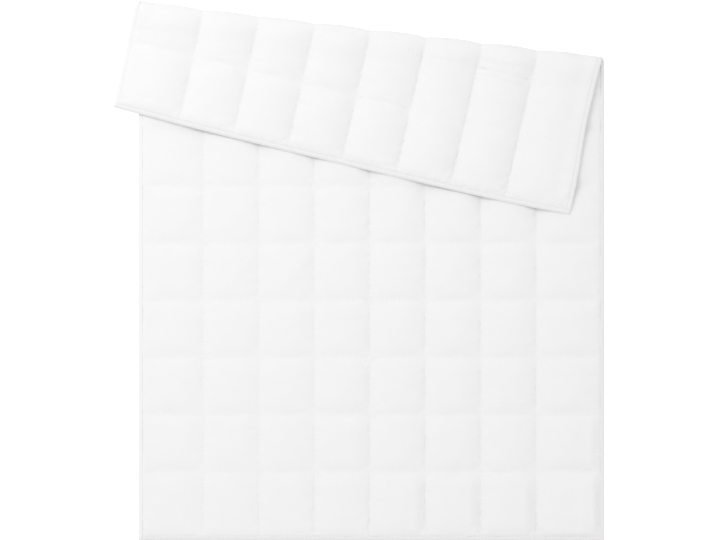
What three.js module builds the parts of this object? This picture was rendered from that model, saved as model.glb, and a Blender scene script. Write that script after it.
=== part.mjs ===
// A thin summer duvet, quilted in squares, laid out flat with its head end folded over at a slight slant.
// It is two pieces: the filled and quilted body, and the narrow binding that is sewn round its edge.
//
// The body is worked out flat first. u runs across the duvet from its left edge, v runs up it from the foot hem,
// and w is the height above the middle of the cloth. A fold then carries each flat point to its real place:
// x to the right, y towards the head end and z up, in millimetres.
import * as THREE from "three";

// The finished duvet, laid flat
const WIDTH = 1550;
const LENGTH = 2170;
const BINDING_WIDTH = 13;
const BINDING_GAP = 0.3;

// The quilting: eight columns and eleven rows, the outer ones wider by what runs out to the binding
const COLUMNS = 8;
const COLUMN_PITCH = 184.5;
const FIRST_COLUMN = 216;
const ROWS = 11;
const ROW_PITCH = 190;
const FIRST_ROW = 230;
const CELL_STEPS = [0, 0.12, 0.34, 0.66, 0.88];

// Heights from the middle of the cloth to its surface
const SEAM_HALF = 1.6;
const CROWN_HALF = 11.5;
const RESTING_HALF = 9;
const UNEVENNESS = 0.09;
const CROWN_POWER = 2.6;
const BINDING_INNER_HALF = 2.1;
const BINDING_OUTER_HALF = 1.4;

// How the lower layer lies: the middle of the cloth is at this height inside, and sinks towards the hems
const MIDDLE_HEIGHT = RESTING_HALF;
const HEM_HEIGHT = 2.5;
const HEM_SLOPE_WIDTH = 75;
const DRAW_IN = 3;
const DRAW_IN_REACH = 70;

// The fold: it starts at this v on the left edge and slants down to the right
const FOLD_START = 1768;
const FOLD_SLANT = THREE.MathUtils.degToRad(6.9);
const BEND_RADIUS = 19;
const BEND_OVERTURN = THREE.MathUtils.degToRad(9);
const EASING_RADIUS = 400;
const LAYER_GAP = 2.5;
const LAYER_RISE = CROWN_HALF * (1 + UNEVENNESS) + RESTING_HALF + LAYER_GAP;
const BEND_SEAM_HALF = 5;
const BEND_LINES = 6;
const SNAP = 3;

// How the folded-over part lies: it slips a little to the right and rucks up towards its right end, and its hem
// bows and droops
const SLIP = 0.03;
const RUCK = 12;
const HEM_BOW = 6;
const FLAP_HEM_DROOP = 4;
const FLAP_HEM_WIDTH = 40;
const OVERHANG_DROOP = 15;
const OVERHANG_START = 70;
const OVERHANG_LENGTH = 160;

const clamp = THREE.MathUtils.clamp;
const smooth = THREE.MathUtils.smoothstep;
const mix = THREE.MathUtils.lerp;

// Seam lines across one direction, from the inner edge of the binding on one side to that on the other
function seamLines(size, cells, first, pitch) {
  const edge = BINDING_WIDTH + BINDING_GAP;
  const inner = Array.from({ length: cells - 1 }, (_, k) => first + k * pitch);
  return [edge, ...inner, size - edge];
}

const U_SEAMS = seamLines(WIDTH, COLUMNS, FIRST_COLUMN, COLUMN_PITCH);
const V_SEAMS = seamLines(LENGTH, ROWS, FIRST_ROW, ROW_PITCH);

// Every seam line, and the lines inside each cell between them
function gridLines(seams) {
  const inside = seams.slice(0, -1).flatMap((start, k) => CELL_STEPS.map((step) => mix(start, seams[k + 1], step)));
  return [...inside, seams[seams.length - 1]];
}

// The cell that a place along one direction lies in, and how far it is across that cell, from 0 to 1
function placeInCell(position, seams) {
  let cell = 0;
  while (cell < seams.length - 2 && position > seams[cell + 1]) cell += 1;
  const across = (position - seams[cell]) / (seams[cell + 1] - seams[cell]);
  return { cell, across: clamp(across, 0, 1) };
}

// The rounded crown of a cell that nothing presses on, 0 on its seams and 1 in its middle
function crown(across) {
  return 1 - Math.abs(2 * across - 1) ** CROWN_POWER;
}

// The flattened crown of a cell that rests on something
function pressed(across) {
  const ramp = CELL_STEPS[1];
  return Math.min(1, across / ramp, (1 - across) / ramp);
}

// No two cells hold the same filling
function fullness(column, row) {
  return 1 + UNEVENNESS * Math.sin(2.3 * column + 4.1 * row + column * row);
}

// How far a flat point lies past the start of the fold, and along the fold
function foldPlace(u, v) {
  const past = u * Math.sin(FOLD_SLANT) + (v - FOLD_START) * Math.cos(FOLD_SLANT);
  const along = u * Math.cos(FOLD_SLANT) - (v - FOLD_START) * Math.sin(FOLD_SLANT);
  return { past, along };
}

const BEND_LENGTH = BEND_RADIUS * (Math.PI + BEND_OVERTURN);
const BEND_TOP = BEND_RADIUS * (1 + Math.cos(BEND_OVERTURN));
const EASING_DROP = EASING_RADIUS * (1 - Math.cos(BEND_OVERTURN));
const SLOPE_LENGTH = (BEND_TOP - EASING_DROP - LAYER_RISE) / Math.sin(BEND_OVERTURN);
const EASING_LENGTH = EASING_RADIUS * BEND_OVERTURN;

// The middle of the cloth through the fold, seen end on: a round bend a little past half a turn, a straight stretch
// that slopes back down, and a long easing curve that lays it level on the lower layer.
function foldCurve(past) {
  if (past <= 0) return { out: past, rise: 0, turn: 0 };
  if (past <= BEND_LENGTH) {
    const turn = past / BEND_RADIUS;
    return { out: BEND_RADIUS * Math.sin(turn), rise: BEND_RADIUS * (1 - Math.cos(turn)), turn };
  }
  const back = -BEND_RADIUS * Math.sin(BEND_OVERTURN);
  const sloping = Math.min(past - BEND_LENGTH, SLOPE_LENGTH);
  const out = back - sloping * Math.cos(BEND_OVERTURN);
  const rise = BEND_TOP - sloping * Math.sin(BEND_OVERTURN);
  if (past <= BEND_LENGTH + SLOPE_LENGTH) return { out, rise, turn: Math.PI + BEND_OVERTURN };
  const eased = Math.min(past - BEND_LENGTH - SLOPE_LENGTH, EASING_LENGTH) / EASING_RADIUS;
  const left = BEND_OVERTURN - eased;
  const level = Math.max(0, past - BEND_LENGTH - SLOPE_LENGTH - EASING_LENGTH);
  return {
    out: out - EASING_RADIUS * (Math.sin(BEND_OVERTURN) - Math.sin(left)) - level,
    rise: rise - EASING_RADIUS * (Math.cos(left) - Math.cos(BEND_OVERTURN)),
    turn: Math.PI + left,
  };
}

// How near a flat point is to the closest hem, as the edge of the duvet sees it
function hemDistance(u, v) {
  return Math.max(0, Math.min(u, WIDTH - u, v, LENGTH - v));
}

// The height of the middle of the lower layer above the surface it lies on
function middleHeight(u, v) {
  return mix(HEM_HEIGHT, MIDDLE_HEIGHT, smooth(hemDistance(u, v), BINDING_WIDTH, BINDING_WIDTH + HEM_SLOPE_WIDTH));
}

// The sides draw in between the seams, most at the hem itself
function drawnIn(u, v) {
  const pullU = DRAW_IN * crown(placeInCell(v, V_SEAMS).across);
  const pullV = DRAW_IN * crown(placeInCell(u, U_SEAMS).across);
  const near = (distance) => Math.exp(-distance / DRAW_IN_REACH);
  return {
    u: u + pullU * (near(u) - near(WIDTH - u)),
    v: v + pullV * (near(v) - near(LENGTH - v)),
  };
}

// Where a flat point, w above the middle of the cloth, ends up
function placed(u, v, w) {
  const drawn = drawnIn(u, v);
  const { past, along } = foldPlace(drawn.u, drawn.v);
  const curve = foldCurve(past);
  const flap = smooth(past, 0, BEND_LENGTH);
  const reach = Math.max(0, past - BEND_LENGTH);
  const toHem = smooth(LENGTH - v, 0, FLAP_HEM_WIDTH);
  const toSide = smooth(Math.min(u, WIDTH - u), 0, FLAP_HEM_WIDTH);
  const bow = HEM_BOW * (1 - 2 * Math.abs((2 * u) / WIDTH - 1) ** 4);
  const ruck = (RUCK * u) / WIDTH;
  const out = curve.out - w * Math.sin(curve.turn) - (bow - ruck) * smooth(reach, 0, LENGTH - FOLD_START);
  const slid = along + SLIP * reach;
  const x = slid * Math.cos(FOLD_SLANT) + out * Math.sin(FOLD_SLANT);
  const y = FOLD_START - slid * Math.sin(FOLD_SLANT) + out * Math.cos(FOLD_SLANT);
  const overhang = OVERHANG_DROOP * smooth(OVERHANG_START - x, 0, OVERHANG_LENGTH);
  const droop = flap * (FLAP_HEM_DROOP * (1 - toHem * toSide) + overhang * smooth(reach, 0, OVERHANG_LENGTH));
  const ground = mix(middleHeight(u, v), MIDDLE_HEIGHT, flap);
  return new THREE.Vector3(x, y, ground + curve.rise + w * Math.cos(curve.turn) - droop);
}

// The half of the body that faces up in the lower layer, and down where it is folded over
function faceHalf(u, v) {
  const column = placeInCell(u, U_SEAMS);
  const row = placeInCell(v, V_SEAMS);
  const open = CROWN_HALF * fullness(column.cell, row.cell);
  const lower = mix(SEAM_HALF, open, crown(column.across) * crown(row.across));
  const under = mix(SEAM_HALF, RESTING_HALF, pressed(column.across) * pressed(row.across));
  return mix(lower, under, smooth(foldPlace(u, v).past, 0, BEND_LENGTH));
}

// The half that rests on the surface in the lower layer, and shows where it is folded over
function backHalf(u, v) {
  const column = placeInCell(u, U_SEAMS);
  const row = placeInCell(v, V_SEAMS);
  const { past } = foldPlace(u, v);
  const bend = smooth(past, 0, BEND_LENGTH / 2) * (1 - smooth(past, BEND_LENGTH / 2, BEND_LENGTH));
  const seam = mix(SEAM_HALF, BEND_SEAM_HALF, bend * smooth(hemDistance(u, v), BINDING_WIDTH, 3 * BINDING_WIDTH));
  const open = CROWN_HALF * fullness(row.cell, column.cell);
  const lower = mix(SEAM_HALF, middleHeight(u, v), pressed(column.across) * pressed(row.across));
  const folded = mix(seam, open, crown(column.across) * crown(row.across));
  return mix(lower, folded, smooth(past, 0, BEND_LENGTH));
}

// The flat body as triangles over its grid lines
function flatGrid() {
  const uLines = gridLines(U_SEAMS);
  const vLines = gridLines(V_SEAMS);
  const points = vLines.flatMap((v) => uLines.map((u) => [u, v]));
  const triangles = [];
  for (let j = 0; j < vLines.length - 1; j += 1) {
    for (let i = 0; i < uLines.length - 1; i += 1) {
      const corner = j * uLines.length + i;
      const above = corner + uLines.length;
      triangles.push([corner, corner + 1, above + 1], [corner, above + 1, above]);
    }
  }
  return { points, triangles };
}

// Cuts every triangle that crosses one line along the fold, so that the bend has edges to turn on
function cutAlongFold({ points, triangles }, level) {
  const side = points.map(([u, v]) => {
    const beyond = foldPlace(u, v).past - level;
    return Math.abs(beyond) < SNAP ? 0 : beyond;
  });
  const cuts = new Map();
  const cutPoint = (a, b) => {
    const key = `${Math.min(a, b)} ${Math.max(a, b)}`;
    if (!cuts.has(key)) {
      const share = side[a] / (side[a] - side[b]);
      cuts.set(key, points.length);
      points.push([mix(points[a][0], points[b][0], share), mix(points[a][1], points[b][1], share)]);
    }
    return cuts.get(key);
  };
  const made = [];
  for (const triangle of triangles) {
    const signs = triangle.map((corner) => Math.sign(side[corner]));
    if (!(signs.includes(1) && signs.includes(-1))) {
      made.push(triangle);
      continue;
    }
    const halves = { 1: [], [-1]: [] };
    triangle.forEach((a, k) => {
      const b = triangle[(k + 1) % 3];
      if (signs[k] >= 0) halves[1].push(a);
      if (signs[k] <= 0) halves[-1].push(a);
      if (signs[k] * signs[(k + 1) % 3] < 0) {
        const cut = cutPoint(a, b);
        halves[1].push(cut);
        halves[-1].push(cut);
      }
    });
    for (const [first, ...rest] of Object.values(halves)) {
      for (let k = 0; k < rest.length - 1; k += 1) made.push([first, rest[k], rest[k + 1]]);
    }
  }
  return { points, triangles: made };
}

// The edges that only one triangle uses, in order round the outline
function outline(triangles) {
  const next = new Map();
  const used = new Set();
  for (const [a, b, c] of triangles) for (const edge of [[a, b], [b, c], [c, a]]) used.add(edge.join(" "));
  for (const edge of used) {
    const [a, b] = edge.split(" ").map(Number);
    if (!used.has(`${b} ${a}`)) next.set(a, b);
  }
  const [start] = next.keys();
  const loop = [start];
  for (let at = next.get(start); at !== start; at = next.get(at)) loop.push(at);
  return loop;
}

function flatBody() {
  let flat = flatGrid();
  for (let k = 0; k < BEND_LINES; k += 1) flat = cutAlongFold(flat, (k * BEND_LENGTH) / (BEND_LINES - 1));
  return { ...flat, rim: outline(flat.triangles) };
}

function meshFrom(name, vertices, triangles, material) {
  const geometry = new THREE.BufferGeometry().setFromPoints(vertices);
  geometry.setIndex(triangles.flat());
  geometry.computeVertexNormals();
  const mesh = new THREE.Mesh(geometry, material);
  mesh.name = name;
  return mesh;
}

// The filled body: its face, its back, and the thin rim that the binding covers
function quiltedBody({ points, triangles, rim }, material) {
  const face = points.map(([u, v]) => placed(u, v, faceHalf(u, v)));
  const back = points.map(([u, v]) => placed(u, v, -backHalf(u, v)));
  const under = points.length;
  const sides = rim.flatMap((a, k) => {
    const b = rim[(k + 1) % rim.length];
    return [[b, a, a + under], [b, a + under, b + under]];
  });
  const backTriangles = triangles.map(([a, b, c]) => [a + under, c + under, b + under]);
  return meshFrom("quilted_body", [...face, ...back], [...triangles, ...backTriangles, ...sides], material);
}

// Moves a point of the body's rim outwards, and at a corner both ways, which mitres the binding
function outwards(position, size, reach) {
  const edge = BINDING_WIDTH + BINDING_GAP;
  if (Math.abs(position - edge) < BINDING_GAP) return edge - reach;
  if (Math.abs(position - (size - edge)) < BINDING_GAP) return size - edge + reach;
  return position;
}

// The binding: one folded strip of cloth all round the rim, as a closed ring with four sides
function edgeBinding({ points, rim }, material) {
  const inner = BINDING_GAP;
  const outer = BINDING_GAP + BINDING_WIDTH;
  const section = [
    [inner, BINDING_INNER_HALF],
    [inner, -BINDING_INNER_HALF],
    [outer, -BINDING_OUTER_HALF],
    [outer, BINDING_OUTER_HALF],
  ];
  const vertices = rim.flatMap((index) =>
    section.map(([reach, w]) => {
      const [u, v] = points[index];
      return placed(outwards(u, WIDTH, reach), outwards(v, LENGTH, reach), w);
    }),
  );
  const triangles = rim.flatMap((_, k) => {
    const here = k * section.length;
    const there = ((k + 1) % rim.length) * section.length;
    return section.flatMap((_point, side) => {
      const other = (side + 1) % section.length;
      return [[here + side, there + side, there + other], [here + side, there + other, here + other]];
    });
  });
  return meshFrom("edge_binding", vertices, triangles, material);
}

const shellCloth = new THREE.MeshStandardMaterial({ color: 0xf3f3f4, roughness: 0.85, metalness: 0 });
const bindingCloth = new THREE.MeshStandardMaterial({ color: 0xf1f1f2, roughness: 0.75, metalness: 0 });

const duvet = new THREE.Group();
const flat = flatBody();
duvet.add(quiltedBody(flat, shellCloth), edgeBinding(flat, bindingCloth));

// The origin is under the middle of the whole, on the surface that it lies on
const box = new THREE.Box3().setFromObject(duvet);
const centre = box.getCenter(new THREE.Vector3());
for (const mesh of duvet.children) mesh.position.set(-centre.x, -centre.y, -box.min.z);

export default duvet;
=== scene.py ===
"""A thin summer duvet, quilted in squares, lying flat with its head end folded over at a slight slant.

The duvet is made flat first. u runs across it from its left edge, v runs up it from the foot hem, and w is
the height above the middle of the cloth, all in metres. placed() then folds it, much as the part's own solids
are folded.
"""

import math

import bpy
import numpy as np
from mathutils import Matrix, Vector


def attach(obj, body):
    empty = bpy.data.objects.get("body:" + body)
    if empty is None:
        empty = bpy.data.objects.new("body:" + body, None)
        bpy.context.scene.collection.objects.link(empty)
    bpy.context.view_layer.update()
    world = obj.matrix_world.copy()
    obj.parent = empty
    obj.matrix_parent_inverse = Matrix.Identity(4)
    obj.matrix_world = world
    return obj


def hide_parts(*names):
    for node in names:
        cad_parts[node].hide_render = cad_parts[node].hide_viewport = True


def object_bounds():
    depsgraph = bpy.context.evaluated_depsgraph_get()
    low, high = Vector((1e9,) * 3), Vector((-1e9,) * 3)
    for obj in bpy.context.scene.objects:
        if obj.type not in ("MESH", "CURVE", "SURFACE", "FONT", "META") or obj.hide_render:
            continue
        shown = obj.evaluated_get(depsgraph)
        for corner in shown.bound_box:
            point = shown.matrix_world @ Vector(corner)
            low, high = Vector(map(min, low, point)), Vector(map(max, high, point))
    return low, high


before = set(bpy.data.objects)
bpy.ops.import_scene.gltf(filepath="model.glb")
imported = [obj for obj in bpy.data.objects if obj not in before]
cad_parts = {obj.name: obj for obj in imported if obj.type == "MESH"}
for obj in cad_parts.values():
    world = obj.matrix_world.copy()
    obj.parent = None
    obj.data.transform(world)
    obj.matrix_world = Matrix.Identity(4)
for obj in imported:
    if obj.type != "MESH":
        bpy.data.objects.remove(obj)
cad_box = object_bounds()

# The finished duvet, laid flat
WIDTH = 1.550
LENGTH = 2.170
BINDING_WIDTH = 0.013
UNDER_BINDING = 0.004
UNDER_BINDING_THINNING = 0.5
STRIP_HALF_WIDTH = 0.015

# The quilting: eight columns and eleven rows of cells
COLUMNS = 8
COLUMN_PITCH = 0.1845
FIRST_COLUMN = 0.216
ROWS = 11
ROW_PITCH = 0.190
FIRST_ROW = 0.230
CELL_STEPS = 22
CROWDING = 0.075

# The stitches: short rods with five sides, whose ends dip into the cloth
STITCH_PITCH = 0.0040
STITCH_LENGTH = 0.0031
STITCH_WIDTH = 0.0007
STITCH_HEIGHT = 0.0005
STITCH_SIDES = 5
STITCH_SHOULDER = 0.55
STITCH_DIP = 0.9

# The binding strip: how far apart its points are along it, and where they are beside a mitre
STATION_PITCH = 0.007
MITRE_STATIONS = (0, 0.004, 0.009)
STRIP_RIPPLE = 0.00022
STRIP_RIPPLE_LENGTH = 0.0041
STRIP_RIPPLE_PATCH = 0.03

# Across the strip, from its edge on the face round to the outside: how far in each point is, and its share of
# the strip's half height. The back mirrors these points, and those inside close the outline.
STRIP_EDGE = [(1.0, 0.78), (1.0, 0.93), (0.93, 0.97), (0.86, 0.97)]
STRIP_ROUND = (0.76, 0.55, 0.38, 0.24, 0.13, 0.05, 0.01)
STRIP_INSIDE = [(0.5, -0.45), (0.2, 0.0), (0.5, 0.45)]
STRIP_STITCHED_POINT = 3
NOSE_FULLNESS = 2.4
NOSE_OUT = 0.12

# Heights from the middle of the cloth to its surface. A low power gives a flat crown with steep edges, but
# for ROUND_POWER and CREASE_POWER, which go with between_seams(), a high one does.
SEAM_HALF = 0.0013
LOWER_HEM_HALF = 0.0040
FLAP_HEM_HALF = 0.0105
HIDDEN_HEM_HALF = 0.0016
FLAP_HIDDEN_HEM_HALF = 0.0030
STRIP_OVER = 0.0007
HEM_EASING = 0.050
LEFT_CROWN = 0.0093
RIGHT_CROWN = 0.0143
FLAP_CROWNS = (0.0155, 0.0155, 0.0165, 0.0185, 0.0180, 0.0195, 0.0200, 0.0160)
RESTING_HALF = 0.009
LEFT_POWER = 0.77
RIGHT_POWER = 0.76
FLAP_POWER = 0.80
HEM_POWER = 0.88
FLAP_HEM_POWER = 1.05
HEM_POWER_REACH = 0.080
ROUND_POWER = 2.6
CREASE_POWER = 6

# Where the puffs change from their left-hand shape to their right-hand one, as shares of the width
PUFF_CHANGE = (0.2, 0.65)

# How slack the seams across the duvet are: the share of the crown's height that they keep, column by column.
# Those past NO_DENT leave no dent at all.
BODY_SLACK = (0.355, 0.355, 0.37, 0.375, 0.385, 0.405, 0.42, 0.42)
FLAP_SLACK = (0.60, 0.58, 0.50, 0.46, 0.70, 0.95, 0.95, 0.95)
FOLD_SLACK = (0.95, 0.95, 0.95, 0.95, 0.95, 0.95, 0.90, 0.95)
NO_DENT = 0.93
SLACK_UNEVENNESS = 0.07
SLACK_REACH = 0.022
VALLEY_REACH = 0.052
CALM_REACH = 0.070
CALM_SHARE = 0.75
CALM_STEPS = 5
PLATEAU_POWER = 4

# How much lower the cloth is where two seams cross
CROSSING_DIP = 0.80
CROSSING_REACH = 0.030

# Puckers beside the seams, and the fans of wrinkles at their crossings
PUCKER = 0.0008
PUCKER_SIZE = 0.024
PUCKER_REACH = 0.022
FAN_HEIGHT = 0.0014
FAN_SHARES = (-0.3, 1.0)
FAN_RAYS = 7
FAN_REACH = 0.030
FAN_HEART = 0.008

# How each crease rises and falls along its length, as shares of that length
CREASE_RISE = (-0.2, 0.35)
CREASE_FALL = (0.65, 1.2)

# How the lower layer lies
MIDDLE_HEIGHT = RESTING_HALF
HEM_HEIGHT = 0.0025
HEM_SLOPE_WIDTH = 0.022
DRAW_IN = 0.0004
DRAW_IN_REACH = 0.070

# The fold
FOLD_START = 1.768
FOLD_SLANT = math.radians(6.9)
BEND_RADIUS = 0.019
BEND_OVERTURN = math.radians(9)
BEND_FLATTENING = 0.6
BEND_SPREAD = 0.7
PRESSED_HALF = 0.0115
PRESSED_BY = 0.060
PRESSED_OUTSIDE = 0.010
EASING_RADIUS = 0.400
LAYER_RISE = 0.02404

# How the folded-over part lies
SLIP = 0.021
RUCK = 0.012
HEM_BOW = 0.006
HEM_BOW_POWER = 4
FLAP_HEM_DROOP_AT = (0.30, 0.80, 1.20)
FLAP_HEM_DROOP = (0.0100, 0.0100, 0.0080)
FLAP_SIDE_DROOP = 0.0020
SIDE_EASING = 0.040
FLAP_HEM_REACH = 0.030
HEM_SHIFT = -0.001
SEAM_SHIFT = 0.0018
FLAP_SEAM_SHIFT = 0.006
FLAP_LEFT_SHARE = -0.25
SIDE_SHIFT = 0.0045
SIDE_TUCK = 0.0125
SIDE_TUCK_REACH = (0.18, 0.45)
OVERHANG_DROOP = 0.015
OVERHANG_START = 0.070
OVERHANG_LENGTH = 0.160

# The photograph's view: straight down, from far enough for a long lens
PICTURE_WIDTH = 2.386
LENS = 85.0
SENSOR = 36.0
VIEW_CENTRE = (-0.0060, 0.0064)
CLIP_END = 60

# The simulated cloth
FRAMES = 9
SPARE_CLOTH = 0.012
SPARE_UNEVENNESS = 0.007
PRESSURE = 6.0
SIM_CROWN = 0.0095
CROSSING_DRAG = 0.0017
START_HEIGHT = 0.001
START_UNEVENNESS = 0.0004
SPARE_PATCH = 0.055
FILL_SHARE = 0.72
FILL_BY_CELL = 0.16
FILL_WITHIN_CELL = 0.12
FILL_PATCH = 0.07

# Where each set of random numbers starts
DRAG_SEED = 41
SPARE_SEED = 7
FILL_SEED = 8
SLACK_SEED = 52
PUCKER_SEED = 61
FAN_SEED = 71
STRIP_SEED = 21

# The surface of the cloth and of the sewing thread: grey, roughness, and how much both vary from patch to
# patch. LAYER_OFFSET keeps the patches on the two sides of the duvet from being the same.
CLOTH_GREY = 0.80
CLOTH_ROUGHNESS = 0.85
SEWING_GREY = 0.82
SEWING_ROUGHNESS = 0.7
SHADE = 0.012
ROUGHNESS_SHADE = 0.04
BODY_SHADE_PATCH = 0.060
STRIP_SHADE_PATCH = 0.050
SEWING_SHADE_PATCH = 0.004
FINE_DETAIL = 3.0
SHEEN = 0.08
SPECULAR = 0.3
LAYER_OFFSET = 7.3

# The weave, and the twist of the sewing thread
THREAD = 0.0007
THREAD_HEIGHT = 0.00003
SLUB = 0.022
SLUB_HEIGHT = 0.00003
TWIST_LENGTH = 0.0007
TWIST_HEIGHT = 0.00003

# The finest puckers, which are bump only: how far apart they are along a seam and how far they reach from it
DOWN_SEAM_PUCKER = (0.0135, 0.012)
CROSS_SEAM_PUCKER = (0.0145, 0.010)
BUMP_HEIGHT = 0.00015
BUMP_UNEVENNESS = 0.0003
BUMP_PATCH = 0.045
WANDER_PATCH = 0.030
BODY_WANDER = 2.5
STRIP_WANDER = 2.0
CRUMPLE_PATCH = 0.040
CRUMPLE_HEIGHT = 0.0005
STRIP_BUMP_LENGTH = 0.0085
STRIP_BUMP_HEIGHT = 0.00012

# The floor and the light
FLOOR_HALF = 6.0
FLOOR_GREY = 0.95
FLOOR_GLOW = 0.45
LIGHT_ABOVE = 0.975
LIGHT_BELOW = 1.05
HORIZON_HALF = 0.02
KEY_PLACE = (-2.5, 2.5, 4.0)
KEY_SIZE = 2.0
KEY_POWER = 61.1


def smooth(x, low, high):
    t = np.clip((x - low) / (high - low), 0, 1)
    return t * t * (3 - 2 * t)


def mix(a, b, share):
    return a + (b - a) * share


def between_seams(across, power):
    """0 on the seams at both sides of a cell and 1 in its middle, flatter for a higher power."""
    return 1 - np.abs(2 * across - 1) ** power


def plateau(distance):
    """1 about the middle, with soft ends near a distance of 1."""
    return np.exp(-distance ** PLATEAU_POWER)


# The quilting grid

def seam_lines(size, cells, first, pitch):
    inner = [first + k * pitch for k in range(cells - 1)]
    return np.array([BINDING_WIDTH, *inner, size - BINDING_WIDTH])


U_SEAMS = seam_lines(WIDTH, COLUMNS, FIRST_COLUMN, COLUMN_PITCH)
V_SEAMS = seam_lines(LENGTH, ROWS, FIRST_ROW, ROW_PITCH)


def grid_lines(seams):
    """Every line of the surface across one direction, closer together near the seams."""
    even = np.arange(CELL_STEPS) / CELL_STEPS
    crowded = even - CROWDING * np.sin(2 * np.pi * even)
    inside = [mix(a, b, crowded) for a, b in zip(seams[:-1], seams[1:])]
    ends = [seams[0] - UNDER_BINDING], [seams[-1], seams[-1] + UNDER_BINDING]
    return np.concatenate([ends[0], *inside, ends[1]])


def place_in_cell(x, seams):
    """The cell that each place lies in, and how far it is across that cell, from 0 to 1."""
    cell = np.clip(np.searchsorted(seams, x, side="right") - 1, 0, len(seams) - 2)
    across = (x - seams[cell]) / (seams[cell + 1] - seams[cell])
    return cell, np.clip(across, 0, 1)


def soft_noise(u, v, scale, seed):
    """Smooth noise from about -1 to 1 over the flat cloth, with bumps of about that scale."""
    nu, nv = int(WIDTH / scale) + 4, int(LENGTH / scale) + 4
    values = np.random.default_rng(seed).uniform(-1, 1, (nv, nu))
    x, y = np.clip(u / scale + 1, 0, nu - 2), np.clip(v / scale + 1, 0, nv - 2)
    i, j = x.astype(int), y.astype(int)
    fx, fy = smooth(x - i, 0, 1), smooth(y - j, 0, 1)
    low = mix(values[j, i], values[j, i + 1], fx)
    high = mix(values[j + 1, i], values[j + 1, i + 1], fx)
    return mix(low, high, fy)


U_LINES = grid_lines(U_SEAMS)
V_LINES = grid_lines(V_SEAMS)
U, V = np.meshgrid(U_LINES, V_LINES)
COLUMN, ACROSS = place_in_cell(U, U_SEAMS)
ROW, ALONG = place_in_cell(V, V_SEAMS)


# The fold

BEND_LENGTH = BEND_RADIUS * (math.pi + BEND_OVERTURN)
BEND_TOP = BEND_RADIUS * (1 + math.cos(BEND_OVERTURN))
EASING_DROP = EASING_RADIUS * (1 - math.cos(BEND_OVERTURN))
SLOPE_LENGTH = (BEND_TOP - EASING_DROP - LAYER_RISE) / math.sin(BEND_OVERTURN)
EASING_LENGTH = EASING_RADIUS * BEND_OVERTURN


def fold_place(u, v):
    """How far a flat point lies past the start of the fold, and along the fold."""
    past = u * math.sin(FOLD_SLANT) + (v - FOLD_START) * math.cos(FOLD_SLANT)
    along = u * math.cos(FOLD_SLANT) - (v - FOLD_START) * math.sin(FOLD_SLANT)
    return past, along


def fold_curve(past):
    """The middle of the cloth through the fold, seen end on: out, rise and turn."""
    bent = np.clip(past, 0, BEND_LENGTH)
    sloping = np.clip(past - BEND_LENGTH, 0, SLOPE_LENGTH)
    eased = np.clip(past - BEND_LENGTH - SLOPE_LENGTH, 0, EASING_LENGTH) / EASING_RADIUS
    level = np.maximum(past - BEND_LENGTH - SLOPE_LENGTH - EASING_LENGTH, 0)
    left = BEND_OVERTURN - eased
    out = np.minimum(past, 0) + BEND_RADIUS * np.sin(bent / BEND_RADIUS)
    out -= sloping * math.cos(BEND_OVERTURN) + level
    out -= EASING_RADIUS * (math.sin(BEND_OVERTURN) - np.sin(left))
    rise = BEND_RADIUS * (1 - np.cos(bent / BEND_RADIUS)) - sloping * math.sin(BEND_OVERTURN)
    rise -= EASING_RADIUS * (np.cos(left) - math.cos(BEND_OVERTURN))
    return out, rise, bent / BEND_RADIUS - eased


def to_right(u):
    """0 where the puffs have their left-hand shape, and 1 where they have their right-hand one."""
    return smooth(u, PUFF_CHANGE[0] * WIDTH, PUFF_CHANGE[1] * WIDTH)


def hem_distance(u, v):
    """How far each place is inside the nearest edge."""
    return np.maximum(0, np.minimum(np.minimum(u, WIDTH - u), np.minimum(v, LENGTH - v)))


def middle_height(u, v):
    """The height of the middle of the lower layer above the surface it lies on: steepest at the hem."""
    inside = np.clip(hem_distance(u, v) / HEM_SLOPE_WIDTH, 0, 1)
    return mix(HEM_HEIGHT, MIDDLE_HEIGHT, 1 - (1 - inside) ** 2)


def drawn_in(u, v):
    """The sides draw in between the seams, most at the hem itself."""
    pull_u = DRAW_IN * between_seams(place_in_cell(v, V_SEAMS)[1], ROUND_POWER)
    pull_v = DRAW_IN * between_seams(place_in_cell(u, U_SEAMS)[1], ROUND_POWER)

    def near(distance):
        return np.exp(-np.maximum(distance, 0) / DRAW_IN_REACH)

    return u + pull_u * (near(u) - near(WIDTH - u)), v + pull_v * (near(v) - near(LENGTH - v))


# Where the foot's left corner lies in the part's frame
FOOT_LEFT = np.array([cad_box[1].x - WIDTH, cad_box[0].y, 0.0])


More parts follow.
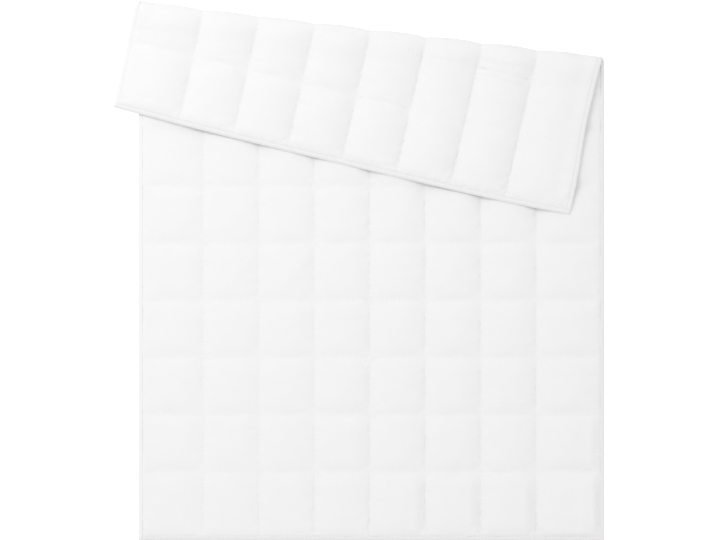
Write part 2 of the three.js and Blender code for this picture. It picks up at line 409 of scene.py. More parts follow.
def placed(u, v, w):
    """Where flat points, w above the middle of the cloth, end up."""
    past, along = fold_place(*drawn_in(u, v))
    out, rise, turn = fold_curve(past)
    flap = smooth(past, 0, BEND_LENGTH)
    reach = np.maximum(past - BEND_LENGTH, 0)
    nearer_side = smooth((LENGTH - v) - (WIDTH - u), 0, SIDE_EASING)
    hem_droop = mix(np.interp(u, FLAP_HEM_DROOP_AT, FLAP_HEM_DROOP), FLAP_SIDE_DROOP, nearer_side)
    hem_droop = hem_droop * np.exp(-hem_distance(u, v) / FLAP_HEM_REACH)
    bow = HEM_SHIFT + HEM_BOW * (1 - 2 * np.abs(2 * u / WIDTH - 1) ** HEM_BOW_POWER)
    off_left, to_side = smooth(u, 0, FIRST_COLUMN), smooth(u, U_SEAMS[-2], WIDTH)
    tucked = (SIDE_SHIFT + SIDE_TUCK * (1 - smooth(reach, *SIDE_TUCK_REACH))) * flap * to_side
    body_shift = -SEAM_SHIFT * off_left * (1 - to_side)
    flap_shift = FLAP_SEAM_SHIFT * mix(FLAP_LEFT_SHARE, 1, off_left)
    along = along + mix(body_shift, flap_shift, flap) - tucked
    out = out - w * np.sin(turn) - (bow - RUCK * u / WIDTH) * smooth(reach, 0, LENGTH - FOLD_START)
    slid = along + SLIP * reach
    x = slid * math.cos(FOLD_SLANT) + out * math.sin(FOLD_SLANT)
    y = FOLD_START - slid * math.sin(FOLD_SLANT) + out * math.cos(FOLD_SLANT)
    hanging = OVERHANG_DROOP * smooth(OVERHANG_START - x, 0, OVERHANG_LENGTH)
    overhang = hanging * smooth(reach, 0, OVERHANG_LENGTH)
    droop = flap * (overhang + hem_droop)
    ground = mix(middle_height(u, v), MIDDLE_HEIGHT, flap)
    return np.stack([x, y, ground + rise + w * np.cos(turn) - droop], axis=-1) + FOOT_LEFT


PAST = fold_place(U, V)[0]
FLAP = smooth(PAST, 0, BEND_LENGTH)
AT_BEND = plateau((PAST / BEND_LENGTH - 0.5) / BEND_SPREAD)


def covered(u, v):
    """Whether the folded-over part lies on each place, from 0 at its hem to 1 well inside it."""
    past, along = fold_place(u, v)
    over_u = along * math.cos(FOLD_SLANT) + (BEND_LENGTH - past) * math.sin(FOLD_SLANT)
    over_v = FOLD_START - along * math.sin(FOLD_SLANT) + (BEND_LENGTH - past) * math.cos(FOLD_SLANT)
    inside = np.minimum(LENGTH - over_v, WIDTH - over_u)
    return smooth(inside, -PRESSED_OUTSIDE, PRESSED_BY) * (1 - FLAP)


COVERED = covered(U, V)


# Slack seams

def seam_rise():
    """How slack cross seams lift the cloth, in the simulation's heights.

    Five fields: the height a seam keeps, the rise around it, where it leaves no dent, how near it is, and
    where the wrinkles beside it are calmed.
    """
    nearest = np.clip(np.rint((V - FIRST_ROW) / ROW_PITCH).astype(int) + 1, 1, ROWS - 1)
    slack = np.tile(BODY_SLACK, (ROWS + 1, 1))
    slack += SLACK_UNEVENNESS * np.random.default_rng(SLACK_SEED).uniform(-1, 1, slack.shape)
    slack[ROWS - 2] = FOLD_SLACK
    slack[ROWS - 1] = FLAP_SLACK
    away = np.abs(V - V_SEAMS[nearest])
    level = slack[nearest, COLUMN] * SIM_CROWN * between_seams(ACROSS, ROUND_POWER)
    undented = slack[nearest, COLUMN] > NO_DENT
    valley = np.where(undented, 0, np.clip(1 - away / VALLEY_REACH, 0, 1) ** 2)
    rise = np.where(undented, 0, level * np.exp(-(away / SLACK_REACH) ** 2))
    calm = CALM_SHARE * plateau(away / CALM_REACH) * undented
    return level, rise, undented, valley, calm


SEAM_LEVEL, SEAM_RISE, UNDENTED, VALLEY, CALM = seam_rise()


# Creases

# Soft ridges and troughs in the cloth: from where to where, how far each reaches to either side, and how high
# it is
CREASES = [
    # start u, start v, end u, end v, half width, height
    (0.298, 0.850, 0.398, 0.960, 0.016, 0.0022),
    (0.481, 0.857, 0.578, 0.950, 0.016, 0.0026),
    (0.688, 0.905, 0.758, 0.970, 0.012, -0.0014),
    (0.785, 0.830, 0.787, 0.955, 0.007, 0.0011),
    (0.822, 0.845, 0.826, 0.945, 0.006, 0.0008),
    (0.115, 1.020, 0.190, 1.100, 0.016, 0.0018),
    (0.300, 1.040, 0.372, 1.125, 0.014, 0.0014),
    (0.470, 0.690, 0.560, 0.770, 0.014, 0.0012),
    (0.660, 0.480, 0.735, 0.560, 0.016, 0.0012),
    (1.040, 0.640, 1.110, 0.760, 0.013, 0.0013),
    (1.215, 0.830, 1.290, 0.930, 0.013, 0.0014),
    (0.835, 1.040, 0.915, 1.130, 0.014, 0.0013),
    (1.400, 0.420, 1.500, 0.560, 0.018, 0.0014),
    (0.900, 0.290, 0.975, 0.360, 0.014, 0.0012),
    # The foot row, beside its seams and at its right end
    (0.926, 0.040, 0.924, 0.215, 0.015, 0.0035),
    (1.109, 0.040, 1.107, 0.215, 0.016, 0.0042),
    (1.291, 0.030, 1.293, 0.210, 0.018, 0.0055),
    (1.484, 0.020, 1.490, 0.240, 0.022, 0.0070),
    (1.514, 0.020, 1.516, 0.235, 0.014, 0.0105),
    (1.504, 0.250, 1.507, 0.420, 0.015, 0.0060),
    (1.360, 0.024, 1.520, 0.024, 0.010, 0.0085),
    # Along the foot hem
    (0.050, 0.048, 0.380, 0.046, 0.006, 0.0012),
    (0.420, 0.036, 0.740, 0.040, 0.005, 0.0009),
    (1.150, 0.046, 1.500, 0.050, 0.007, 0.0016),
    (1.330, 0.030, 1.480, 0.028, 0.005, 0.0012),
    # On the folded-over part, along the fold
    (0.585, 1.746, 0.755, 1.725, 0.009, 0.0018),
    (0.775, 1.723, 0.945, 1.702, 0.009, 0.0030),
    (0.960, 1.700, 1.125, 1.680, 0.009, 0.0048),
    (1.150, 1.677, 1.310, 1.658, 0.009, 0.0052),
    (1.335, 1.655, 1.520, 1.632, 0.009, 0.0048),
    (1.161, 1.698, 1.270, 1.675, 0.007, 0.0018),
    (1.161, 1.715, 1.270, 1.690, 0.007, 0.0014),
    # Beside the left hem and the first seam
    (0.024, 0.060, 0.025, 0.900, 0.005, 0.0018),
    (0.192, 0.945, 0.193, 1.000, 0.006, 0.0014),
    (0.234, 0.935, 0.236, 1.010, 0.006, 0.0016),
    # Beside the right hem
    (1.518, 0.560, 1.520, 0.980, 0.004, 0.0009),
    (1.507, 0.700, 1.508, 1.240, 0.005, 0.0008),
]


def creased():
    """How far the creases lift each place."""
    (rise_from, rise_to), (fall_from, fall_to) = CREASE_RISE, CREASE_FALL
    rise = np.zeros_like(U)
    for u0, v0, u1, v1, half_width, height in CREASES:
        long = math.hypot(u1 - u0, v1 - v0)
        along = ((U - u0) * (u1 - u0) + (V - v0) * (v1 - v0)) / long
        aside = ((U - u0) * (v1 - v0) - (V - v0) * (u1 - u0)) / long
        fallen = smooth(along, fall_from * long, fall_to * long)
        fade = smooth(along, rise_from * long, rise_to * long) * (1 - fallen)
        rise += height * fade * np.exp(-(aside / half_width) ** 2)
    off_seams = between_seams(ACROSS, CREASE_POWER) * between_seams(ALONG, CREASE_POWER)
    return rise * off_seams


def nearest_crossing():
    """The crossing of two seams that is nearest to each place, and how far each place is from it."""
    nearest_u = np.clip(np.rint((U - FIRST_COLUMN) / COLUMN_PITCH).astype(int), 0, COLUMNS - 2)
    nearest_v = np.clip(np.rint((V - FIRST_ROW) / ROW_PITCH).astype(int), 0, ROWS - 2)
    aside_u = U - FIRST_COLUMN - nearest_u * COLUMN_PITCH
    aside_v = V - FIRST_ROW - nearest_v * ROW_PITCH
    return nearest_u, nearest_v, aside_u, aside_v


def kept_at_crossings():
    """The share of its height that the cloth keeps near where two seams cross."""
    aside_u, aside_v = nearest_crossing()[2:]
    dip = CROSSING_DIP * np.exp(-(np.hypot(aside_u, aside_v) / CROSSING_REACH) ** 2)
    return 1 - dip * ~UNDENTED


def puckered():
    """Small puckers beside the seams, and wrinkles that fan out from where two seams cross."""
    nearest_u, nearest_v, aside_u, aside_v = nearest_crossing()
    from_hem_seam = np.abs(hem_distance(U, V) - BINDING_WIDTH)
    nearby = np.minimum(np.minimum(np.abs(aside_u), np.abs(aside_v)), from_hem_seam)
    pucker = PUCKER * soft_noise(U, V, PUCKER_SIZE, PUCKER_SEED) * np.exp(-(nearby / PUCKER_REACH) ** 2)
    rng = np.random.default_rng(FAN_SEED)
    heights = rng.uniform(*FAN_SHARES, (ROWS - 1, COLUMNS - 1)) * FAN_HEIGHT
    turns = rng.uniform(0, 2 * np.pi, (ROWS - 1, COLUMNS - 1))
    angle, away = np.arctan2(aside_v, aside_u), np.hypot(aside_u, aside_v)
    ray = np.cos(FAN_RAYS * angle + turns[nearest_v, nearest_u])
    fan = np.exp(-(away / FAN_REACH) ** 2) * (1 - np.exp(-(away / FAN_HEART) ** 2))
    return pucker + heights[nearest_v, nearest_u] * ray * fan


# The camera

def make_camera():
    data = bpy.data.cameras.new("camera")
    data.lens = LENS
    data.sensor_width = SENSOR
    data.clip_end = CLIP_END
    camera = bpy.data.objects.new("camera", data)
    camera.location = (*VIEW_CENTRE, HEM_HEIGHT + PICTURE_WIDTH * LENS / SENSOR)
    bpy.context.scene.collection.objects.link(camera)
    bpy.context.scene.camera = camera


make_camera()


# Meshes

def new_object(name, points, faces, material=None):
    mesh = bpy.data.meshes.new(name)
    mesh.from_pydata(np.asarray(points).reshape(-1, 3).tolist(), [], [tuple(map(int, f)) for f in faces])
    mesh.polygons.foreach_set("use_smooth", [True] * len(mesh.polygons))
    obj = bpy.data.objects.new(name, mesh)
    bpy.context.scene.collection.objects.link(obj)
    if material:
        mesh.materials.append(material)
    return obj


def keep_flat_place(obj, places):
    """Keeps each point's place on the flat cloth with the mesh, for the weave."""
    attribute = obj.data.attributes.new("flat_place", "FLOAT_VECTOR", "POINT")
    attribute.data.foreach_set("vector", np.asarray(places).astype(np.float32).ravel())


def grid_faces(rows, columns):
    """The quads of a grid of points, counted along its rows, facing up."""
    corner = (np.arange(rows - 1)[:, None] * columns + np.arange(columns - 1)[None, :]).ravel()
    return np.stack([corner, corner + 1, corner + columns + 1, corner + columns], axis=1)


# The cloth of one side, puffed up between its seams

def dragged_at_crossings(rng):
    """How far the seams' crossings, sewn a little out of place, drag each place in u and v."""
    drag = np.zeros((ROWS + 1, COLUMNS + 1, 2))
    drag[1:-1, 1:-1] = rng.normal(0, CROSSING_DRAG, (ROWS - 1, COLUMNS - 1, 2))
    share_u, share_v = ACROSS[..., None], ALONG[..., None]
    low = mix(drag[ROW, COLUMN], drag[ROW, COLUMN + 1], share_u)
    high = mix(drag[ROW + 1, COLUMN], drag[ROW + 1, COLUMN + 1], share_u)
    return mix(low, high, share_v)


def sewn_down():
    """Which places are held by a seam."""
    at_hem = hem_distance(U, V) <= BINDING_WIDTH
    return (np.abs(ACROSS - 0.5) == 0.5) | (np.abs(ALONG - 0.5) == 0.5) & ~UNDENTED | at_hem


def weigh_points(obj, name, shares):
    """Adds a group in which each point has its own share."""
    group = obj.vertex_groups.new(name=name)
    for k, share in enumerate(shares.ravel().tolist()):
        group.add([k], share, "REPLACE")


def add_cloth(obj, rest):
    """Sets up the cloth: blown up by its filling, held where it is sewn, and without gravity."""
    modifier = obj.modifiers.new("Cloth", "CLOTH")
    cloth = modifier.settings
    cloth.quality = 4
    cloth.mass = 0.02
    cloth.tension_stiffness = 12
    cloth.compression_stiffness = 12
    cloth.shear_stiffness = 4
    cloth.bending_stiffness = 0.4
    cloth.bending_damping = 0.5
    cloth.vertex_group_mass = "sewn"
    cloth.rest_shape_key = rest
    cloth.use_pressure = True
    cloth.uniform_pressure_force = PRESSURE
    cloth.vertex_group_pressure = "fill"
    cloth.vertex_group_shrink = "spare"
    cloth.shrink_min = SPARE_UNEVENNESS - SPARE_CLOTH
    cloth.shrink_max = -SPARE_UNEVENNESS - SPARE_CLOTH
    cloth.effector_weights.gravity = 0
    modifier.collision_settings.use_collision = False
    modifier.collision_settings.use_self_collision = False
    modifier.point_cache.frame_end = FRAMES + 1


def simulated_sheet():
    """How far the cloth of the upper side moves aside when it is filled, and the height it rises to."""
    rng = np.random.default_rng(DRAG_SEED)
    dragged = dragged_at_crossings(rng)
    sewn = sewn_down()
    loose = START_HEIGHT + START_UNEVENNESS * rng.uniform(-1, 1, U.shape)
    start = SEAM_RISE + np.where(sewn, 0, loose)
    flat = np.stack([U, V, np.zeros_like(U)], axis=-1)
    begun = flat + np.concatenate([dragged, start[..., None]], axis=-1)

    obj = new_object("filling_cloth", begun, grid_faces(*U.shape))
    obj.shape_key_add(name="begun")
    rest = obj.shape_key_add(name="rest")
    rest.data.foreach_set("co", flat.astype(np.float32).ravel())
    rest.value = 0
    pins = obj.vertex_groups.new(name="sewn")
    pins.add(np.flatnonzero(sewn).tolist(), 1.0, "REPLACE")
    by_cell = rng.uniform(-1, 1, (ROWS, COLUMNS))[ROW, COLUMN]
    within_cell = soft_noise(U, V, FILL_PATCH, FILL_SEED)
    weigh_points(obj, "spare", 0.5 + 0.5 * soft_noise(U, V, SPARE_PATCH, SPARE_SEED))
    weigh_points(obj, "fill", FILL_SHARE + FILL_BY_CELL * by_cell + FILL_WITHIN_CELL * within_cell)

    add_cloth(obj, rest)
    bpy.context.scene.frame_end = FRAMES + 1
    for number in range(1, FRAMES + 1):
        bpy.context.scene.frame_set(number)
    done = obj.evaluated_get(bpy.context.evaluated_depsgraph_get())
    ended = np.zeros(U.size * 3, np.float32)
    done.data.vertices.foreach_get("co", ended)
    moved = ended.reshape(*U.shape, 3).astype(float) - begun
    moved[..., 2] = ended.reshape(*U.shape, 3)[..., 2]
    bpy.data.objects.remove(obj)
    return moved


def swell(height):
    """The height of the filled cloth over the middle, from its simulated height."""
    inwards = hem_distance(U, V) - BINDING_WIDTH
    power = mix(mix(LEFT_POWER, RIGHT_POWER, to_right(U)), FLAP_POWER, FLAP)
    power = mix(mix(HEM_POWER, FLAP_HEM_POWER, FLAP), power, smooth(inwards, 0, HEM_POWER_REACH))
    crown = mix(mix(LEFT_CROWN, RIGHT_CROWN, to_right(U)), np.array(FLAP_CROWNS)[COLUMN], FLAP)
    crown = crown * (1 - BEND_FLATTENING * AT_BEND)
    return crown * (np.clip(height, 0, None) / SIM_CROWN) ** power


def seam_half(at_hem):
    """Half the thickness that is left at the seams: more at the hem, where the filling is sewn in."""
    inwards = hem_distance(U, V) - BINDING_WIDTH
    under_binding = 1 + UNDER_BINDING_THINNING * np.minimum(inwards, 0) / UNDER_BINDING
    return mix(at_hem, SEAM_HALF, smooth(inwards, 0, HEM_EASING)) * under_binding


def calmed(height):
    """The height averaged along the length, which takes small wrinkles out."""
    total = np.zeros_like(height)
    for step in range(-CALM_STEPS, CALM_STEPS + 1):
        total += np.roll(height, step, axis=0)
    return total / (2 * CALM_STEPS + 1)


def quilt_surfaces():
    """The two sides of the duvet, each as the places of its grid points."""
    cloth = simulated_sheet()
    shown_hem_half = mix(LOWER_HEM_HALF, FLAP_HEM_HALF, FLAP)
    height = mix(mix(cloth[..., 2], calmed(cloth[..., 2]), CALM), SEAM_LEVEL, VALLEY)
    height = height * kept_at_crossings()
    shown = seam_half(shown_hem_half) + swell(height) + creased() + puckered()
    hidden_hem_half = mix(HIDDEN_HEM_HALF, FLAP_HIDDEN_HEM_HALF, FLAP)
    hidden = seam_half(hidden_hem_half) + swell(cloth[..., 2] - SEAM_RISE) - swell(SEAM_RISE)
    pressed = mix(shown, np.minimum(shown, PRESSED_HALF), COVERED)
    face = mix(pressed, np.minimum(hidden, RESTING_HALF), FLAP)
    back = mix(np.minimum(hidden, middle_height(U, V)), shown, FLAP)
    moved_u, moved_v = U + cloth[..., 0], V + cloth[..., 1]
    return placed(moved_u, moved_v, face), placed(moved_u, moved_v, -back)


def rim_indices(rows, columns):
    """The grid's outer points, in order round it, anticlockwise from the foot's left corner."""
    index = np.arange(rows * columns).reshape(rows, columns)
    return np.concatenate([index[0, :-1], index[:-1, -1], index[-1, :0:-1], index[:0:-1, 0]])


def make_shell(face, back, material):
    """The whole filled body as one closed surface."""
    quads = grid_faces(*U.shape)
    rim = rim_indices(*U.shape)
    after = np.roll(rim, -1)
    under = U.size
    sides = np.stack([after, rim, rim + under, after + under], axis=1)
    points = np.concatenate([face.reshape(-1, 3), back.reshape(-1, 3)])
    obj = new_object("duvet_body", points, np.concatenate([quads, quads[:, ::-1] + under, sides]), material)
    flat = np.stack([U, V, np.zeros_like(U)], axis=-1).reshape(-1, 3)
    flat_back = flat + np.array([0, 0, 1])
    keep_flat_place(obj, np.concatenate([flat, flat_back]))
    return obj


# The binding: a strip of cloth folded round the edge, mitred at the corners

def binding_stations():
    """Points round the outer edge, anticlockwise: each is its outer place and its inner place."""
    corners = [(0, 0), (WIDTH, 0), (WIDTH, LENGTH), (0, LENGTH)]
    outer = []
    for (u0, v0), (u1, v1) in zip(corners, corners[1:] + corners[:1]):
        long = abs(u1 - u0) + abs(v1 - v0)
        middle = np.arange(BINDING_WIDTH, long - BINDING_WIDTH, STATION_PITCH)
        end = [long - BINDING_WIDTH, *(long - station for station in MITRE_STATIONS[:0:-1])]
        along = np.concatenate([MITRE_STATIONS, middle, end])
        share = along / long
        outer.append(np.stack([mix(u0, u1, share), mix(v0, v1, share)], axis=1))
    outer = np.concatenate(outer)
    inner = np.stack([
        np.clip(outer[:, 0], BINDING_WIDTH, WIDTH - BINDING_WIDTH),
        np.clip(outer[:, 1], BINDING_WIDTH, LENGTH - BINDING_WIDTH),
    ], axis=1)
    return outer, inner


def strip_section():
    """The closed outline of the strip's cross section."""
    upper = list(STRIP_EDGE)
    for inwards in STRIP_ROUND:
        share = (1 - (1 - inwards) ** NOSE_FULLNESS) ** (1 / NOSE_FULLNESS)
        upper.append((inwards * (1 + NOSE_OUT) - NOSE_OUT, share))
    lower = [(inwards, -share) for inwards, share in reversed(upper)]
    return upper + [(-NOSE_OUT, 0.0)] + lower + STRIP_INSIDE


STRIP = strip_section()
STRIP_LAST = len(STRIP) - len(STRIP_INSIDE) - 1
STRIP_STITCHED = (STRIP_STITCHED_POINT, STRIP_LAST - STRIP_STITCHED_POINT)
STRIP_HEART = len(STRIP) - 2


def make_binding(material):
    """The strip as one closed surface, and its points station by station."""
    outer, inner = binding_stations()
    count = len(outer)
    length = np.concatenate([[0], np.cumsum(np.linalg.norm(np.diff(outer, axis=0), axis=1))])
    patches = soft_noise(outer[:, 0], outer[:, 1], STRIP_RIPPLE_PATCH, STRIP_SEED)
    ripple = STRIP_RIPPLE * np.sin(length / STRIP_RIPPLE_LENGTH) * patches
    on_flap = smooth(fold_place(outer[:, 0], outer[:, 1])[0], 0, BEND_LENGTH)
    face_half = STRIP_OVER + mix(LOWER_HEM_HALF, FLAP_HIDDEN_HEM_HALF, on_flap)
    back_half = STRIP_OVER + mix(HIDDEN_HEM_HALF, FLAP_HEM_HALF, on_flap)
    rows = []
    for inwards, share in STRIP:
        edge = mix(outer, inner, inwards)
        w = share * np.where(share > 0, face_half, back_half) + ripple * np.sign(share)
        rows.append(placed(edge[:, 0], edge[:, 1], w))
    points = np.stack(rows, axis=1)
    around = len(STRIP)
    faces = []
    for k in range(count):
        for m in range(around):
            a, b = k * around + m, k * around + (m + 1) % around
            c, d = (k + 1) % count * around + (m + 1) % around, (k + 1) % count * around + m
            faces.append((a, b, c, d))
    obj = new_object("edge_binding_strip", points, faces, material)
    across = [STRIP_HALF_WIDTH * (1 - inwards) * np.sign(share) for inwards, share in STRIP]
    flat = np.stack([*np.meshgrid(length, across, indexing="ij"), np.zeros((count, around))], axis=-1)
    keep_flat_place(obj, flat)
    return obj, points


# The stitches

def stitch_shape():
    """The points and faces of one stitch. The points are in half lengths, half widths and half heights."""
    sides = range(STITCH_SIDES)
    turns = np.arange(STITCH_SIDES) * 2 * math.pi / STITCH_SIDES
    ends = (-STITCH_SHOULDER, STITCH_SHOULDER)
    rings = [(end, math.cos(turn), math.sin(turn)) for end in ends for turn in turns]
    points = np.array([*rings, (-1, 0, -STITCH_DIP), (1, 0, -STITCH_DIP)])
    after = [(k + 1) % STITCH_SIDES for k in sides]
    faces = [(k, STITCH_SIDES + k, STITCH_SIDES + after[k], after[k]) for k in sides]
    faces += [(len(rings), k, after[k]) for k in sides]
    faces += [(len(rings) + 1, STITCH_SIDES + after[k], STITCH_SIDES + k) for k in sides]
    return points, faces


STITCH_POINTS, STITCH_FACES = stitch_shape()


def unit(vectors):
    return vectors / np.linalg.norm(vectors, axis=-1, keepdims=True)


def stitches_along(line, outward, distances):
    """Stitches on a line of points, one every STITCH_PITCH of the flat cloth: all their points."""
    centres = np.arange(distances[0] + STITCH_PITCH / 2, distances[-1], STITCH_PITCH)
    before = np.clip(np.searchsorted(distances, centres) - 1, 0, len(distances) - 2)
    share = ((centres - distances[before]) / (distances[before + 1] - distances[before]))[:, None]
    middle = mix(line[before], line[before + 1], share)
    along = unit(line[before + 1] - line[before])
    up = mix(outward[before], outward[before + 1], share)
    up = unit(up - along * np.sum(up * along, axis=1, keepdims=True))
    aside = np.cross(up, along)
    spread = STITCH_POINTS * (STITCH_LENGTH / 2, STITCH_WIDTH / 2, STITCH_HEIGHT / 2)
    axes = np.stack([along, aside, up], axis=1)
    return (middle[:, None, :] + np.einsum("pk,nkx->npx", spread, axes)).reshape(-1, 3)


def stitches_object(name, points, material):
    """All the stitches of one piece as a mesh."""
    points = np.concatenate(points)
    per_stitch = len(STITCH_POINTS)
    starts = range(0, len(points), per_stitch)
    faces = [tuple(start + corner for corner in face) for start in starts for face in STITCH_FACES]
    return new_object(name, points, faces, material)


def quilting_stitches(name, side, facing, material):
    """The quilting thread on one side of the duvet."""
    outward = facing * unit(np.cross(np.gradient(side, axis=1), np.gradient(side, axis=0)))
    seams = slice(1, -1)
    points = []
    for k in range(1, COLUMNS):
        line = 1 + k * CELL_STEPS
        points.append(stitches_along(side[seams, line], outward[seams, line], V_LINES[seams]))
    for k in range(1, ROWS):
        line = 1 + k * CELL_STEPS
        points.append(stitches_along(side[line, seams], outward[line, seams], U_LINES[seams]))
    return stitches_object(name, points, material)


def binding_stitches(strip, material):
    """The thread that holds the binding down, on both sides of the duvet."""
    points = []
    for row in STRIP_STITCHED:
        line = np.concatenate([strip[:, row], strip[:1, row]])
        outward = unit(line - np.concatenate([strip[:, STRIP_HEART], strip[:1, STRIP_HEART]]))
        distances = np.concatenate([[0], np.cumsum(np.linalg.norm(np.diff(line, axis=0), axis=1))])
        points.append(stitches_along(line, outward, distances))
    return stitches_object("binding_stitches", points, material)


# Materials

class Recipe:
    """The nodes of one material, made as sums of numbers and sockets."""

    def __init__(self, name, grey):
        self.material = bpy.data.materials.new(name)
        self.material.use_nodes = True
        self.tree = self.material.node_tree
        self.shader = self.tree.nodes["Principled BSDF"]
        self.grey = grey

    def node(self, kind, **inputs):
        node = self.tree.nodes.new(kind)
        for name, value in inputs.items():
            self.connect(value, node.inputs[name])
        return node

    def connect(self, value, socket):
        if isinstance(value, bpy.types.NodeSocket):
            self.tree.links.new(value, socket)
        else:
            socket.default_value = value

    def sum(self, operation, *terms):
        node = self.tree.nodes.new("ShaderNodeMath")
        node.operation = operation
        for term, socket in zip(terms, node.inputs):
            self.connect(term, socket)
        return node.outputs[0]

    def add(self, *terms):
        total = terms[0]
        for term in terms[1:]:
            total = self.sum("ADD", total, term)
        return total

    def times(self, *terms):
        total = terms[0]
        for term in terms[1:]:
            total = self.sum("MULTIPLY", total, term)
        return total

    def flat_place(self):
        attribute = self.tree.nodes.new("ShaderNodeAttribute")
        attribute.attribute_name = "flat_place"
        parts = self.node("ShaderNodeSeparateXYZ", Vector=attribute.outputs["Vector"])
        return parts.outputs["X"], parts.outputs["Y"], parts.outputs["Z"]

    def noise(self, x, y, z, size, detail=2.0):
        """Noise from about -1 to 1 with features of about that size; a pair of sizes stretches it."""
        wide, high = size if isinstance(size, tuple) else (size, size)
        x, y, z = self.times(x, 1 / wide), self.times(y, 1 / high), self.times(z, LAYER_OFFSET)
        vector = self.node("ShaderNodeCombineXYZ", X=x, Y=y, Z=z)
        texture = self.node("ShaderNodeTexNoise", Vector=vector.outputs[0], Scale=1.0, Detail=detail)
        return self.sum("MULTIPLY_ADD", texture.outputs[0], 2.0, -1.0)

    def wave(self, x, length, shift=0.0):
        return self.sum("SINE", self.sum("MULTIPLY_ADD", x, 2 * math.pi / length, shift))

    def near(self, distance, reach):
        """1 on a line, falling to nothing past that reach."""
        return self.sum("EXPONENT", self.times(distance, distance, -1 / reach ** 2))

    def plain_weave(self, x, y, side):
        """Threads over and under one another, some thicker than others."""
        crossing = self.times(self.wave(x, THREAD), self.wave(y, THREAD))
        thick_x = self.noise(x, y, side, (THREAD, SLUB))
        thick_y = self.noise(x, y, side, (SLUB, THREAD))
        threads = self.times(crossing, THREAD_HEIGHT)
        slubs = self.times(self.add(thick_x, thick_y), SLUB_HEIGHT)
        return self.add(threads, slubs)

    def finish(self, height, shade, roughness):
        """Sets the bump, from heights in metres, and the grey, a little lighter and darker by shade."""
        level = self.sum("MULTIPLY_ADD", shade, SHADE, self.grey)
        colour = self.node("ShaderNodeCombineColor", Red=level, Green=level, Blue=level)
        self.connect(colour.outputs[0], self.shader.inputs["Base Color"])
        uneven = self.sum("MULTIPLY_ADD", shade, ROUGHNESS_SHADE, roughness)
        self.connect(uneven, self.shader.inputs["Roughness"])
        self.shader.inputs["Sheen Weight"].default_value = SHEEN
        self.shader.inputs["Sheen Roughness"].default_value = 0.5
        self.shader.inputs["Specular IOR Level"].default_value = SPECULAR
        bump = self.node("ShaderNodeBump", Height=height, Distance=1.0, Strength=1.0)
        self.connect(bump.outputs[0], self.shader.inputs["Normal"])
        return self.material


def seam_distance(recipe, x, first, pitch, last):
    """How far a place is from the nearest of a set of even seams."""
    number = recipe.sum("ROUND", recipe.times(recipe.add(x, -first), 1 / pitch))
    number = recipe.sum("MINIMUM", recipe.sum("MAXIMUM", number, 0.0), last)
    return recipe.sum("ABSOLUTE", recipe.add(x, -first, recipe.times(number, -pitch)))


def hem_seam_distance(recipe, x, size):
    """How far a place is from the nearer of the two seams along opposite hems."""
    from_middle = recipe.sum("ABSOLUTE", recipe.add(x, -size / 2))
    return recipe.sum("ABSOLUTE", recipe.add(from_middle, BINDING_WIDTH - size / 2))


def shell_cotton():
    """Fine plain-woven cotton, a little crumpled, and drawn into small puckers beside its seams."""
    recipe = Recipe("shell_cotton", CLOTH_GREY)
    u, v, side = recipe.flat_place()
    seam_u = seam_distance(recipe, u, FIRST_COLUMN, COLUMN_PITCH, COLUMNS - 2.0)
    seam_v = seam_distance(recipe, v, FIRST_ROW, ROW_PITCH, ROWS - 2.0)
    seam_u = recipe.sum("MINIMUM", seam_u, hem_seam_distance(recipe, u, WIDTH))
    seam_v = recipe.sum("MINIMUM", seam_v, hem_seam_distance(recipe, v, LENGTH))
    wander = recipe.times(recipe.noise(u, v, side, WANDER_PATCH), BODY_WANDER)
    patches = recipe.noise(u, v, side, BUMP_PATCH)
    strength = recipe.sum("MULTIPLY_ADD", patches, BUMP_UNEVENNESS, BUMP_HEIGHT)
    (long_v, reach_u), (long_u, reach_v) = DOWN_SEAM_PUCKER, CROSS_SEAM_PUCKER
    along_v = recipe.times(recipe.wave(v, long_v, wander), recipe.near(seam_u, reach_u))
    along_u = recipe.times(recipe.wave(u, long_u, wander), recipe.near(seam_v, reach_v))
    puckers = recipe.times(recipe.add(along_v, along_u), strength)
    crumples = recipe.times(recipe.noise(u, v, side, CRUMPLE_PATCH, FINE_DETAIL), CRUMPLE_HEIGHT)
    height = recipe.add(puckers, crumples, recipe.plain_weave(u, v, side))
    shade = recipe.noise(u, v, side, BODY_SHADE_PATCH, FINE_DETAIL)
    return recipe.finish(height, shade, CLOTH_ROUGHNESS)


def binding_cotton():
    """The same cotton cut on the bias, rippled where it is sewn down."""
    recipe = Recipe("binding_cotton", CLOTH_GREY)
    along, across, side = recipe.flat_place()
    slanting = recipe.times(recipe.add(along, across), math.sqrt(0.5))
    other = recipe.times(recipe.add(along, recipe.times(across, -1)), math.sqrt(0.5))
    wander = recipe.times(recipe.noise(along, across, side, WANDER_PATCH), STRIP_WANDER)
    ripples = recipe.times(recipe.wave(along, STRIP_BUMP_LENGTH, wander), STRIP_BUMP_HEIGHT)
    height = recipe.add(ripples, recipe.plain_weave(slanting, other, side))
    shade = recipe.noise(along, across, side, STRIP_SHADE_PATCH, FINE_DETAIL)
    return recipe.finish(height, shade, CLOTH_ROUGHNESS)


def cotton_thread():
    """Twisted sewing thread, a touch smoother than the cloth."""
    recipe = Recipe("cotton_thread", SEWING_GREY)
    place = recipe.node("ShaderNodeTexCoord").outputs["Object"]
    parts = recipe.node("ShaderNodeSeparateXYZ", Vector=place)
    x, y, z = parts.outputs
    twist = recipe.times(recipe.wave(recipe.add(x, y), TWIST_LENGTH), TWIST_HEIGHT)
    return recipe.finish(twist, recipe.noise(x, y, z, SEWING_SHADE_PATCH), SEWING_ROUGHNESS)


# Light and floor

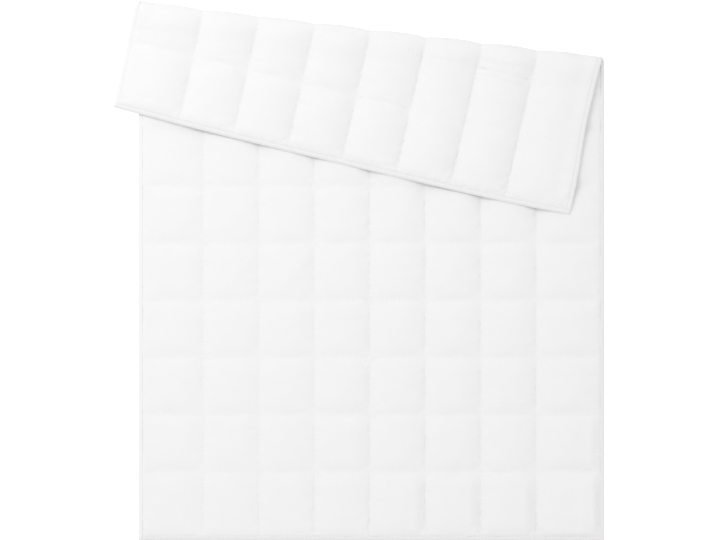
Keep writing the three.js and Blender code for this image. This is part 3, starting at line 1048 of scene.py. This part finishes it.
def make_floor():
    """A pale floor that glows a little, and that diffuse rays don't see."""
    corners = [(x * FLOOR_HALF, y * FLOOR_HALF, 0) for x, y in ((-1, -1), (1, -1), (1, 1), (-1, 1))]
    obj = new_object("floor", corners, [(0, 1, 2, 3)])
    material = bpy.data.materials.new("pale_floor")
    material.use_nodes = True
    shader = material.node_tree.nodes["Principled BSDF"]
    shader.inputs["Base Color"].default_value = (FLOOR_GREY, FLOOR_GREY, FLOOR_GREY, 1)
    shader.inputs["Roughness"].default_value = 1.0
    shader.inputs["Emission Color"].default_value = (1, 1, 1, 1)
    shader.inputs["Emission Strength"].default_value = FLOOR_GLOW
    obj.data.materials.append(material)
    obj.visible_diffuse = False


def area_light(name, place, size, power):
    data = bpy.data.lights.new(name, "AREA")
    data.size = size
    data.energy = power
    light = bpy.data.objects.new(name, data)
    light.location = place
    aim = -light.location
    light.rotation_euler = aim.to_track_quat("-Z", "Y").to_euler()
    bpy.context.scene.collection.objects.link(light)


def make_world(strength, below):
    """Even white light from above, and a little more from below the horizon."""
    world = bpy.data.worlds.new("studio")
    world.use_nodes = True
    nodes, links = world.node_tree.nodes, world.node_tree.links
    direction = nodes.new("ShaderNodeTexCoord")
    parts = nodes.new("ShaderNodeSeparateXYZ")
    links.new(direction.outputs["Generated"], parts.inputs["Vector"])
    horizon = nodes.new("ShaderNodeMapRange")
    horizon.inputs["From Min"].default_value = -HORIZON_HALF
    horizon.inputs["From Max"].default_value = HORIZON_HALF
    horizon.inputs["To Min"].default_value = below
    horizon.inputs["To Max"].default_value = strength
    links.new(parts.outputs["Z"], horizon.inputs["Value"])
    background = nodes["Background"]
    background.inputs["Color"].default_value = (1, 1, 1, 1)
    links.new(horizon.outputs["Result"], background.inputs["Strength"])
    bpy.context.scene.world = world


# The duvet
face, back = quilt_surfaces()
body = make_shell(face, back, shell_cotton())
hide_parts("quilted_body")
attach(body, "root")

binding, strip = make_binding(binding_cotton())
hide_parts("edge_binding")
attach(binding, "root")

thread = cotton_thread()
for stitches, slot in (
    (quilting_stitches("quilting_stitches_face", face, 1, thread), "shell_cloth"),
    (quilting_stitches("quilting_stitches_back", back, -1, thread), "shell_cloth"),
    (binding_stitches(strip, thread), "binding_cloth"),
):
    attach(stitches, "root")

# The stage
make_floor()
make_world(LIGHT_ABOVE, LIGHT_BELOW)
area_light("key_light", KEY_PLACE, KEY_SIZE, KEY_POWER)
bpy.context.scene.view_settings.view_transform = "Standard"
